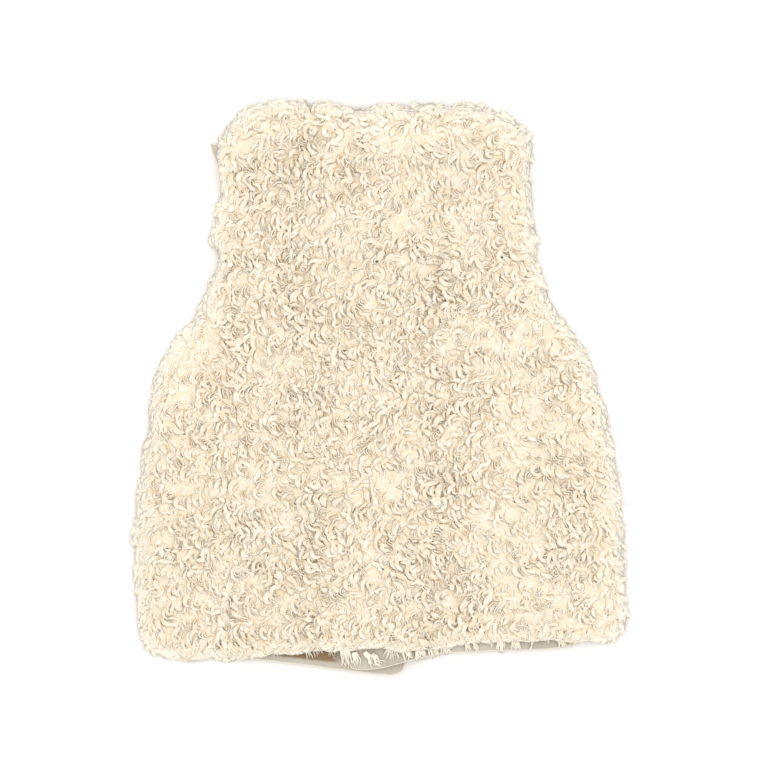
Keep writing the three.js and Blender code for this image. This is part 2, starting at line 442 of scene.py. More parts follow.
# a panel's outline: how far it reaches to each side and to its hem and top
class Outline:
    def __init__(self, solid, middle, freeEdge=None, freeSide=0):
        levels, start = measured["levels"], measured["start"]
        self.freeSide = freeSide
        self.ys = np.linspace(solid.low[1] + measured["lowest"], measured["highest"], levels)
        sides = []
        for side in (-1, 1):
            if side == freeSide:
                sides.append(np.full(levels, freeEdge))
            else:
                reach = [solid.reach((middle, y), (side, 0), measured["mostAcross"]) for y in self.ys]
                sides.append(middle + side * np.array(reach))
        self.left, self.right = sides
        ends = [solid.low[0] + measured["ends"], solid.high[0] - measured["ends"]]
        if freeSide:
            ends[0 if freeSide < 0 else 1] = freeEdge - measured["freeInset"] * freeSide
        self.xs = ends[0] + (ends[1] - ends[0]) * crowded(levels, freeSide)
        inner = np.clip(
            self.xs, max(solid.low[0], -measured["shoulder"]), min(solid.high[0], measured["shoulder"])
        )
        most = measured["mostAlong"]
        self.bottom = np.array([-start - solid.reach((x, -start), (0, -1), most) for x in self.xs])
        self.top = np.array([start + solid.reach((x, start), (0, 1), most) for x in inner])

    def sidesAt(self, y):
        return np.interp(y, self.ys, self.left), np.interp(y, self.ys, self.right)

    def bottomAt(self, x):
        return np.interp(x, self.xs, self.bottom)

    def topAt(self, x):
        return np.interp(x, self.xs, self.top)


backOutline = Outline(backSolid, 0)
leftOutline = Outline(leftSolid, -120, freeEdge=leftSolid.high[0], freeSide=1)
rightOutline = Outline(rightSolid, 120, freeEdge=rightSolid.low[0], freeSide=-1)
backTop = HeightMap(backSolid, True)
backUnder = HeightMap(backSolid, False)
print("forms read")


def smooth(low, high, value):
    share = np.clip((value - low) / (high - low), 0, 1)
    return share * share * (3 - 2 * share)


# a smooth random field from -1 to 1, for points in mm
def field(x, y, size, seed):
    count, shift = 64, 20.5
    table = np.random.default_rng(seed).uniform(-1, 1, (count, count))
    u, v = x / size + shift, y / size + shift
    i, j = np.floor(u).astype(int), np.floor(v).astype(int)
    s, t = u - i, v - j
    s, t = s * s * (3 - 2 * s), t * t * (3 - 2 * t)
    corner = lambda a, b: table[(i + a) % count, (j + b) % count]
    low = corner(0, 0) * (1 - s) + corner(1, 0) * s
    high = corner(0, 1) * (1 - s) + corner(1, 1) * s
    return low * (1 - t) + high * t


def addMesh(name, points, faces, materials, faceMaterials=None):
    mesh = bpy.data.meshes.new(name)
    faces = np.asarray(faces, np.int32)
    corners = faces.shape[1]
    mesh.vertices.add(len(points))
    mesh.vertices.foreach_set("co", (np.asarray(points) * millimetre).astype(np.float32).ravel())
    mesh.loops.add(faces.size)
    mesh.loops.foreach_set("vertex_index", faces.ravel())
    mesh.polygons.add(len(faces))
    mesh.polygons.foreach_set("loop_start", np.arange(0, faces.size, corners, dtype=np.int32))
    mesh.polygons.foreach_set("use_smooth", np.full(len(faces), True))
    for material in materials:
        mesh.materials.append(material)
    if faceMaterials is not None:
        mesh.polygons.foreach_set("material_index", np.asarray(faceMaterials, np.int32))
    mesh.update(calc_edges=True)
    obj = bpy.data.objects.new(name, mesh)
    scene.collection.objects.link(obj)
    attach(obj, "root")
    return obj


def addAttribute(mesh, name, values):
    mesh.attributes.new(name, "FLOAT", "POINT").data.foreach_set("value", values.astype(np.float32))


# cloth: a thin shell in the plan of a panel, drawn in from its solid's outline
panelPlan = {
    "corner": 36.5,          # mm from the back's lowest point up to where its sides begin
    "tip": 44.1,             # mm from its highest point down to the armholes' top
    "sideShare": 6,          # more keeps what a side pulls along closer to it
}
cornerY = backSolid.low[1] + panelPlan["corner"]
tipY = backSolid.high[1] - panelPlan["tip"]


# rows of a grid over a panel, which meet its outer sides at their true heights
def planOf(outline, columns, rows, sideInsets, lowInsetAt, highInsetAt):
    u = crowded(columns, outline.freeSide)[:, None]
    v = np.linspace(0, 1, rows)[None, :]
    sideY = cornerY + v * (tipY - cornerY)
    left, right = outline.sidesAt(sideY)
    x = left + sideInsets[0](sideY) + u * (right - sideInsets[1](sideY) - left - sideInsets[0](sideY))
    low, high = outline.bottomAt(x), outline.topAt(x)
    level = low + v * (high - low)
    fix = np.zeros_like(level)
    if outline.freeSide >= 0:
        fix += (sideY - level[:1]) * (1 - u) ** panelPlan["sideShare"]
    if outline.freeSide <= 0:
        fix += (sideY - level[-1:]) * u ** panelPlan["sideShare"]
    return x, level + fix + (1 - v) * lowInsetAt(x) - v * highInsetAt(x)


# insets of an edge: the same everywhere, changing softly, and from a table
def steady(inset):
    return lambda at: np.full_like(at, inset)


def changing(low, high, first, last):
    return lambda at: first + (last - first) * smooth(low, high, at)


def tabled(places, insets):
    return lambda at: np.interp(at, places, insets)


# soft dips that a folded cloth keeps
def creased(x, y, creases):
    total = np.zeros_like(x)
    for middleX, middleY, length, width, depth, turn, bow in creases:
        turn = math.radians(turn)
        dx, dy = x - middleX, y - middleY
        along = dx * math.cos(turn) + dy * math.sin(turn)
        across = dy * math.cos(turn) - dx * math.sin(turn) - bow * (along / length) ** 2
        total += depth * np.exp(-(2 * along / length) ** 2 - (across / width) ** 2)
    return total


# upper and lower faces, with a rounded pale edge between them
bevel = 0.9


def clothPiece(name, plan, upperAt, thickness, materials):
    x, y = plan
    columns, rows = x.shape
    gx, gy = edgeNormals(x, y)
    upper = np.stack([x - bevel * gx, y - bevel * gy, upperAt(x, y)], -1)
    lower = np.stack([x - bevel * gx, y - bevel * gy, upperAt(x, y) - thickness], -1)
    count = columns * rows
    index = np.arange(count).reshape(columns, rows)
    a, b, c, d = index[:-1, :-1], index[1:, :-1], index[1:, 1:], index[:-1, 1:]
    top = np.stack([a, b, c, d], -1).reshape(-1, 4)
    bottom = np.stack([a, d, c, b], -1).reshape(-1, 4) + count
    ring = np.concatenate([index[:-1, 0], index[-1, :-1], index[1:, -1][::-1], index[0, 1:][::-1]])
    onEdge = np.arange(len(ring)) + 2 * count
    rim = np.stack([x, y, upperAt(x, y) - thickness / 2], -1).reshape(-1, 3)[ring]
    after = np.roll(np.arange(len(ring)), -1)
    high = np.stack([ring, onEdge, onEdge[after], ring[after]], -1)
    low = np.stack([ring + count, ring[after] + count, onEdge[after], onEdge], -1)
    points = np.concatenate([upper.reshape(-1, 3), lower.reshape(-1, 3), rim])
    faces = np.concatenate([top, bottom, high, low])
    which = np.concatenate([np.zeros(len(top)), np.ones(len(bottom)), np.full(2 * len(ring), 2)])
    return addMesh(name, points, faces, materials, which)


# the four sides of a grid, and which way their normals turn
gridSides = [
    ((0, slice(None)), 1),
    ((-1, slice(None)), -1),
    ((slice(None), 0), -1),
    ((slice(None), -1), 1),
]


# unit vectors out of a grid's border, and zero inside it
def edgeNormals(x, y):
    gx, gy = np.zeros_like(x), np.zeros_like(y)
    for line, way in gridSides:
        dx, dy = np.gradient(x[line]), np.gradient(y[line])
        size = np.hypot(dx, dy) + 1e-9
        gx[line] += -way * dy / size
        gy[line] += way * dx / size
    size = np.maximum(np.hypot(gx, gy), 1)
    return gx / size, gy / size


backCloth = {
    "grid": (48, 56),
    "sideInset": 5,
    "hemInset": 5,
    "topInset": 6,
    "thickness": 1.8,
    "clearance": 0.4,        # mm above the fronts
    "creases": [             # middle x, y, length, width, depth, turn in degrees, bow
        (-150, -120, 150, 14, 1.4, 72, 8),
        (96, -190, 110, 10, 1.1, 104, -6),
        (40, 160, 170, 16, 1.5, 12, 10),
        (-60, 240, 90, 9, 0.9, -28, 0),
        (150, 20, 130, 12, 1.2, 60, 9),
    ],
}
frontCloth = {
    "grid": (38, 60),
    "thickness": 1.7,
    "clearance": 0.2,        # mm below its solid's top
    "leftCreases": [
        (-160, -270, 60, 7, 0.9, 80, 0),
        (-66, -281, 46, 5, 0.8, 64, 0),
        (-8, -289, 38, 5, 0.7, 110, 0),
        (-110, -60, 190, 15, 1.2, 84, 12),
        (-120, 120, 120, 11, 1.1, 35, 0),
    ],
    "rightCreases": [
        (96, -268, 60, 6, 0.8, 100, 0),
        (176, -262, 44, 6, 0.7, 68, 0),
        (120, -80, 200, 14, 1.2, 96, -10),
        (110, 150, 110, 12, 1.0, 150, 0),
    ],
    # places, and how far in from the solid's outline the cloth's edge lies there
    "leftSide": ((205, 257), (14, 0)),
    "rightSide": (-262, -225, 2, 14),
    "leftTop": (-165, -142, -3, 16),
    "rightTop": 16,
    "rightHem": ((70, 110, 180, 215, 235), (0, -1.5, -4.6, -4, 0)),
    "freeSide": 0.4,
}


# a panel's outline as one closed line, anticlockwise
def border(outline):
    count, topCount = 90, 70
    ys = np.linspace(cornerY, tipY, count)
    left, right = outline.sidesAt(ys)
    xs = np.linspace(left[0], right[0], count)
    tops = np.linspace(left[-1], right[-1], topCount)
    return np.concatenate([
        np.stack([xs, outline.bottomAt(xs)], 1),
        np.stack([right, ys], 1),
        np.stack([tops, outline.topAt(tops)], 1)[::-1],
        np.stack([left, ys], 1)[::-1],
    ])


# the same for a cloth's grid
def edgeOf(plan):
    x, y = plan
    return np.concatenate([
        np.stack([x[:, 0], y[:, 0]], 1),
        np.stack([x[-1, 1:], y[-1, 1:]], 1),
        np.stack([x[:-1, -1], y[:-1, -1]], 1)[::-1],
        np.stack([x[0, 1:-1], y[0, 1:-1]], 1)[::-1],
    ])


# how far inside a closed line each point is, and the unit way out of it
def insetFrom(line, x, y):
    start, end = line, np.roll(line, -1, axis=0)
    step = end - start
    length = (step ** 2).sum(1) + 1e-9
    points = np.stack([x, y], 1)
    inset = np.empty(len(points))
    out = np.empty((len(points), 2))
    inside = np.zeros(len(points), bool)
    batch = 2000
    for first in range(0, len(points), batch):
        these = slice(first, first + batch)
        part = points[these, None, :]
        share = np.clip(((part - start) * step).sum(2) / length, 0, 1)
        gap = start + share[..., None] * step - part
        distance = np.hypot(gap[..., 0], gap[..., 1])
        nearest = distance.argmin(1)
        rows = np.arange(len(nearest))
        inset[these] = distance[rows, nearest]
        out[these] = gap[rows, nearest] / (distance[rows, nearest][:, None] + 1e-9)
        crosses = (start[:, 1] > part[..., 1]) != (end[:, 1] > part[..., 1])
        at = start[:, 0] + (part[..., 1] - start[:, 1]) * step[:, 0] / (step[:, 1] + 1e-12)
        inside[these] = (crosses & (part[..., 0] < at)).sum(1) % 2 == 1
    sign = np.where(inside, 1, -1)
    return inset * sign, out * sign[:, None]


# places where the wool's edge lies further out than the solid's, or less far, in mm
rimShifts = [
    # x, y, size, out
    (-215, 42, 23, 13),
    (-192, 86, 16, 3),
    (-172, 170, 11, 7),
    (-166, 141, 16, -7),
    (-164, 206, 15, -8),
    (-164, 236, 14, -4.5),
    (-138, 289, 18, 7),
    (-244, -270, 13, 4),
    (-170, -276, 14, -3),
    (-12, 300, 13, -6),
    (35, 300, 13, -6),
    (86, 302, 27, -9.5),
    (142, 288, 10, -4),
    (166, 260, 17, 5),
    (180, 112, 13, 3),
    (203, 58, 18, 5),
    (222, 36, 12, 4),
    (235, 2, 12, -4),
    (256, -235, 36, 3.5),
]


# a soft bump's height at given distances from its middle
def bell(gap, size):
    return np.exp(-(gap / size) ** 2)


def shiftAt(points):
    move = np.zeros(len(points))
    for x, y, size, out in rimShifts:
        move += out * bell(np.linalg.norm(points - np.array((x, y)), axis=1), size)
    return move


def shiftedLine(line):
    step = np.roll(line, -1, axis=0) - np.roll(line, 1, axis=0)
    way = np.stack([step[:, 1], -step[:, 0]], 1)
    way /= np.linalg.norm(way, axis=1, keepdims=True) + 1e-9
    return line + way * shiftAt(line)[:, None]


# the same for a grid, by no more than a given distance outward
def shiftedPlan(plan, line, most=math.inf):
    points = np.stack([plan[0].ravel(), plan[1].ravel()], 1)
    out = insetFrom(line, *points.T)[1]
    moved = points + out * np.minimum(shiftAt(points), most)[:, None]
    return moved[:, 0].reshape(plan[0].shape), moved[:, 1].reshape(plan[1].shape)


solidLine = border(backOutline)
backLine = shiftedLine(solidLine)
backPlan = shiftedPlan(planOf(
    backOutline, *backCloth["grid"], [steady(backCloth["sideInset"])] * 2,
    steady(backCloth["hemInset"]), steady(backCloth["topInset"]),
), solidLine, most=0)


def backFloor(x, y):
    return backUnder.at(x, y) + backCloth["clearance"] + creased(x, y, backCloth["creases"])


def backClothTop(x, y):
    return backFloor(x, y) + backCloth["thickness"]


backPiece = clothPiece(
    "back_cloth", backPlan, backClothTop, backCloth["thickness"], [matted, suede, cutEdge]
)

leftTop = HeightMap(leftSolid, True)
rightTop = HeightMap(rightSolid, True)


def clothLevel(heights, creases):
    return lambda x, y: heights.at(x, y) - frontCloth["clearance"] - creased(x, y, creases)


leftClothTop = clothLevel(leftTop, frontCloth["leftCreases"])
rightClothTop = clothLevel(rightTop, frontCloth["rightCreases"])
free = steady(frontCloth["freeSide"])
# the fronts' sides lie under the back, but the left one shows beside it at the shoulder
leftPlan = planOf(
    leftOutline, *frontCloth["grid"], (tabled(*frontCloth["leftSide"]), free),
    steady(0), changing(*frontCloth["leftTop"]),
)
rightPlan = planOf(
    rightOutline, *frontCloth["grid"], (free, changing(*frontCloth["rightSide"])),
    tabled(*frontCloth["rightHem"]), steady(frontCloth["rightTop"]),
)
leftPiece = clothPiece(
    "front_left_cloth", leftPlan, leftClothTop, frontCloth["thickness"],
    [shadedSuede, matted, cutEdge],
)
rightPiece = clothPiece(
    "front_right_cloth", rightPlan, rightClothTop, frontCloth["thickness"],
    [suede, matted, cutEdge],
)
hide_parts("back")
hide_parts("front_left")
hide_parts("front_right")
print("cloth ready")


openHem = {"across": (-130, 218, 18), "below": -200}     # from, to, and how far it fades past them
openShoulder = {"up": (218, 257, 10), "leftOf": -130}


def within(value, low, high, fade):
    return smooth(low - fade, low, value) * (1 - smooth(high, high + fade, value))


# 1 where a front shows beyond the back's edge, at the hem and the left shoulder, and 0 away from there
def atOpenEdge(x, y):
    hem = within(x, *openHem["across"]) * (y < openHem["below"])
    shoulder = within(y, *openShoulder["up"]) * (x < openShoulder["leftOf"])
    return np.maximum(hem, shoulder)


# fur: locks of a few curled strands, rooted on the cloth, first at a jittered lattice inside a line
def scatter(line, look):
    rng = np.random.default_rng(look["seed"] + 100)
    spacing = look["spacing"]
    low, high = line.min(0), line.max(0)
    rows = np.arange(low[1], high[1], spacing * math.sqrt(0.75))
    found = []
    for i, y in enumerate(rows):
        xs = np.arange(low[0] + (i % 2) * spacing / 2, high[0], spacing)
        found.append(np.stack([xs, np.full_like(xs, y)], 1))
    points = np.concatenate(found)
    points += rng.uniform(-1, 1, points.shape) * look["jitter"] * spacing
    inset = insetFrom(line, points[:, 0], points[:, 1])[0]
    return points[inset > look["rootInset"]]


# roots in rows that follow a line, each row further in
def rowsAlong(line, look):
    rng = np.random.default_rng(look["seed"] + 100)
    closed = np.concatenate([line, line[:1]])
    run = np.concatenate([[0], np.cumsum(np.linalg.norm(np.diff(closed, axis=0), axis=1))])
    found = []
    for inset in look["rows"]:
        at = np.arange(0, run[-1], look["spacing"]) + rng.uniform(0, look["spacing"])
        at = (at + rng.uniform(-1, 1, len(at)) * look["jitter"] * look["spacing"]) % run[-1]
        points = np.stack([np.interp(at, run, closed[:, k]) for k in (0, 1)], 1)
        out = insetFrom(line, *(points * 0.999).T)[1]    # from just inside the line
        found.append(points - out * (inset + rng.uniform(*look["rowJitter"], len(at)))[:, None])
    return np.concatenate(found)


# draws what has passed a line back towards it, all but a share of the way
def heldTo(line, shareAt, least=0.0):
    def keepIn(x, y):
        inset, out = insetFrom(line, x.ravel(), y.ravel())
        over = np.maximum(least - inset, 0) * (1 - shareAt(x.ravel(), y.ravel()))
        return x - (out[:, 0] * over).reshape(x.shape), y - (out[:, 1] * over).reshape(y.shape)

    return keepIn


# wool past a panel's edge sinks towards the table, but not where the hem stands open
def hungOver(x, y, z, line, hang):
    inset = insetFrom(line, x.ravel(), y.ravel())[0].reshape(x.shape)
    sunk = hang["share"] * smooth(hang["from"], hang["to"], inset) * (1 - atOpenEdge(x, y))
    return z - sunk * (z - hang["level"])


# cross-sections, in half widths across and up, anticlockwise as seen from the tip
sections = {
    "lock": [(1.0, 0.0), (0.7, 0.27), (0.08, 0.15), (-0.64, 0.3), (-1.0, 0.0)],
    "strand": [(0.95, -0.2), (0.0, 0.45), (-0.95, -0.2)],
}


# how a strand's width changes from its root to its tip
strandForm = {
    "root": 0.55,            # share of its full width
    "fullFrom": 0.32,        # share of its length
    "late": 3,               # more keeps it broad for longer
    "blunt": 0.75,           # less makes its tip blunter
    "uneven": 0.1,           # share of its width
    "turns": 8,              # radians along it
}
fibreScale = (0.55, 0.07)    # lines across and along a strand, for each mm
fibreRange = 500             # how far apart strands start on that map
bakeMargin = 0.12            # share of a strand's cell on the bake map


# closed strands along the given middle lines
def sweep(name, paths, sides, widths, section, roll, twist, material, data, floor):
    count, stations = paths.shape[:2]
    t = np.linspace(0, 1, stations)
    tangent = np.gradient(paths, axis=1)
    tangent /= np.linalg.norm(tangent, axis=2, keepdims=True) + 1e-9
    normal = np.cross(tangent, sides)
    normal /= np.linalg.norm(normal, axis=2, keepdims=True) + 1e-9
    profile = np.array(sections[section])
    around = len(profile)
    ringCount = stations - 1
    form = strandForm
    uneven = 1 + form["uneven"] * np.sin(form["turns"] * t + data["offset"][:, None])
    swell = (form["root"] + (1 - form["root"]) * smooth(0, form["fullFrom"], t)) * uneven
    swell *= (1 - t ** form["late"]) ** form["blunt"]
    half = (widths[:, None] / 2 * swell)[:, :ringCount, None]
    angle = (roll[:, None] + twist[:, None] * t[:ringCount])[..., None]
    across = (profile[:, 0] * np.cos(angle) - profile[:, 1] * np.sin(angle)) * half
    upward = (profile[:, 0] * np.sin(angle) + profile[:, 1] * np.cos(angle)) * half
    rings = (
        paths[:, :ringCount, None, :]
        + sides[:, :ringCount, None, :] * across[..., None]
        + normal[:, :ringCount, None, :] * upward[..., None]
    )
    perStrand = ringCount * around + 1
    points = np.concatenate([rings.reshape(count, -1, 3), paths[:, -1:, :]], 1)
    points[..., 2] = np.maximum(points[..., 2], floor)
    k, m = np.meshgrid(np.arange(ringCount - 1), np.arange(around), indexing="ij")
    n = (m + 1) % around
    lower, upper = k * around, (k + 1) * around
    first = np.stack([lower + m, lower + n, upper + n], -1).reshape(-1, 3)
    second = np.stack([lower + m, upper + n, upper + m], -1).reshape(-1, 3)
    last = (ringCount - 1) * around
    ms = np.arange(around)
    tip = np.stack([last + ms, last + (ms + 1) % around, np.full(around, perStrand - 1)], -1)
    cap = np.stack([np.zeros(around - 2, int), ms[2:], ms[1:-1]], -1)
    strand = np.concatenate([first, second, tip, cap])
    faces = (strand[None] + (np.arange(count) * perStrand)[:, None, None]).reshape(-1, 3)
    obj = addMesh(name, points.reshape(-1, 3), faces, [material])
    mesh = obj.data

    # places on the fibre map and the bake map, for each corner of a strand's faces
    corner = lambda ring, place: np.stack([place, t[ring]], -1)
    firstUv = np.stack([corner(k, m), corner(k, m + 1), corner(k + 1, m + 1)], 2).reshape(-1, 3, 2)
    secondUv = np.stack([corner(k, m), corner(k + 1, m + 1), corner(k + 1, m)], 2).reshape(-1, 3, 2)
    lastRing = np.full(around, ringCount - 1)
    tipUv = np.stack([corner(lastRing, ms), corner(lastRing, ms + 1), corner(lastRing + 1, ms + 0.5)], 1)
    capUv = np.stack([np.zeros(cap.shape), np.zeros(cap.shape) - 0.05], -1)
    capUv[..., 0] = cap
    uv = np.concatenate([firstUv, secondUv, tipUv, capUv]).reshape(-1, 2)
    length = np.linalg.norm(np.diff(paths, axis=1), axis=2).sum(1)
    fibre = np.empty((count, len(uv), 2))
    fibre[..., 0] = uv[None, :, 0] / around * (widths * fibreScale[0])[:, None] + data["offset"][:, None]
    fibre[..., 1] = uv[None, :, 1] * (length * fibreScale[1])[:, None] + data["offset"][:, None]
    cells = math.ceil(math.sqrt(count))
    cell = np.stack([np.arange(count) % cells, np.arange(count) // cells], 1)
    inCell = np.stack([uv[:, 0] / around, uv[:, 1]], 1)[None]
    bake = (cell[:, None, :] + bakeMargin + (1 - 2 * bakeMargin) * inCell) / cells
    for layerName, values in (("fibre", fibre), ("OFBake", bake)):
        layer = mesh.uv_layers.new(name=layerName)
        layer.data.foreach_set("uv", values.astype(np.float32).ravel())
    mesh.uv_layers.active = mesh.uv_layers["fibre"]
    alongs = np.concatenate([np.repeat(t[:ringCount], around), [1.0]])
    addAttribute(mesh, "along", np.tile(alongs, count))
    for key in ("tone", "pale"):
        addAttribute(mesh, key, np.repeat(data[key], perStrand))
    return obj


# broad wavy locks, and finer strands that lie over and between them
backFur = {
    "seed": 7,
    "section": "lock",
    "spacing": 8.3,          # mm between locks
    "jitter": 0.34,
    "strands": (0.6, 0.4, 0.0),  # share of locks with one, two and three
    "width": (4.4, 6.8),
    "gap": 0.78,             # share of a strand's width between the strands of a lock
    "length": (22, 34),      # mm of arc
    "tufting": 0.0,          # share that a patch of locks is longer or shorter
    "crimp": 24,             # mm from one wave to the next
    "crimpDrift": 4.6,       # radians that the waves shift over a patch
    "crimpJitter": 0.6,
    "swing": (0.6, 1.15),    # radians to each side
    "hook": (0.0, 1.6),
    "rooted": 0.52,          # share of the pile's height
    "parting": 0.25,         # more of it where the locks turn towards an edge
    "lift": (0.74, 1.0),
    "droop": (0.04, 0.3),
    "roll": 0.3,
    "twist": 0.5,
    "nap": -90,              # degrees, towards the hem
    "wander": 44,
    "ownTurn": 30,
    "edgeReach": 28,
    "edgeTurn": (0.5, 0.4, 0.2, 0.7),    # share, how much more at the top, and where that starts and ends
    "clearance": 1.2,        # mm inside the solid
    "least": 1.0,            # mm of pile
    "rootInset": 9,          # mm in from the outline
    "edgeLength": 0.8,       # share of its length that a lock at the edge has
    "hang": {"from": 5, "to": -4, "level": 2.5, "share": 0.85},
    "stations": 10,
    "pieces": 4,
    "paintedRimLight": False,
}
backStrands = {
    **backFur,
    "seed": 19,
    "section": "strand",
    "spacing": 13,
    "strands": (0.4, 0.4, 0.2),
    "width": (2.1, 3.4),
    "length": (18, 29),
    "crimp": 20,
    "swing": (0.7, 1.3),
    "hook": (0.2, 2.4),
    "rooted": 0.6,
    "lift": (0.8, 1.04),
    "roll": 0.8,
    "pieces": 1,
}
# rows of locks that hang over the edge all round
backFringe = {
    **backFur,
    "seed": 23,
    "rows": (9, 15),         # mm in from the outline
    "rowJitter": (-2, 2),
    "spacing": 5.2,
    "jitter": 0.4,
    "strands": (0.8, 0.2, 0.0),
    "width": (4.6, 7.2),
    "length": (17, 28),
    "tufting": 0.45,
    "swing": (0.5, 1.0),
    "hook": (0.0, 1.2),
    "edgeLength": 1.0,
    "rooted": 0.5,
    "lift": (0.6, 1.0),
    "droop": (0.1, 0.6),
    "stations": 9,
    "pieces": 1,
}
# finer ones below them, and thin hairs that stand out
backSkirt = {
    **backFringe,
    "seed": 37,
    "section": "strand",
    "rows": (2.5, 5, 8),
    "spacing": 4.2,
    "strands": (1.0, 0.0, 0.0),
    "width": (7.0, 10.0),
    "length": (9, 18),
    "swing": (0.3, 0.7),
    "roll": 0.12,
    "twist": 0.25,
    "rooted": 0.3,
    "lift": (0.4, 0.85),
    "droop": (0.1, 0.4),
    # the skirt and the wisps take the whiter wool, as painted light at the rim
    "paintedRimLight": True,
}
backWisps = {
    **backSkirt,
    "seed": 29,
    "rows": (3, 7),
    "spacing": 4.6,
    "strands": (0.6, 0.3, 0.1),
    "width": (0.7, 1.3),
    "length": (13, 23),
    "rooted": 0.4,
    "lift": (0.4, 1.0),
    "droop": (0.0, 0.6),
    "stations": 7,
}


# patches in which neighbouring locks do alike: their size in mm, and a seed
patches = {
    "lean": (48, 8),
    "side": (60, 21),
    "lift": (19, 9),
    "broadLift": (41, 10),
    "wave": (31, 12),
    "hook": (17, 13),
    "length": (17, 15),
}
# how the strands differ from one another
spread = {
    "turn": 0.75,            # of a lock's own turn
    "lift": 0.35,
    "broad": 0.4,            # share that the broader patches have in the lift
    "phase": 0.25,           # between the strands of a lock, in radians
    "hook": 0.3,
    "width": (0.85, 1.15),
    "alone": 1.2,            # width of a lock's only strand, and of each one where there are more
    "together": 0.88,
    "length": (0.82, 1.06),
    "waves": (0.9, 1.1),
    "apart": 0.12,           # radians by which they part towards their tips
    "tone": 0.2,
    "pale": (0.6, 1),
}
# how a lock lies along its length
lie = {
    "edge": 4,               # mm in from the outline, where it has turned to the edge
    "sideways": 2.4,         # radians past which it turns by one side
    "longFrom": (8, 34),     # mm in from the outline, where it comes to its full length
    "fan": (0.75, 0.45),     # gaps between its strands at the root, and how many more at the tip
    "steep": 0.4,            # share of a step that it makes at its root, seen from above
    "leastRise": 0.05,       # shares of the pile's height, as are the next two
    "rolled": 0.1,
    "heights": (-0.02, 1.08),
    "paleFrom": 2,           # mm in from the outline, where it's palest
    "paleTo": (20, 32),      # where it isn't pale, at the sides and at the top
    "upward": (0.3, 0.8),    # how far an edge faces up, from a side to the top
    # from and to which shares of its length it bends, levels, rises, droops and rolls
    "hookFrom": 0.3,
    "hooked": (0.2, 0.9),
    "level": (0, 0.2),
    "risen": (0, 0.42),
    "drooped": (0.55, 1.0),
    "waved": (0.15, 0.4),
}


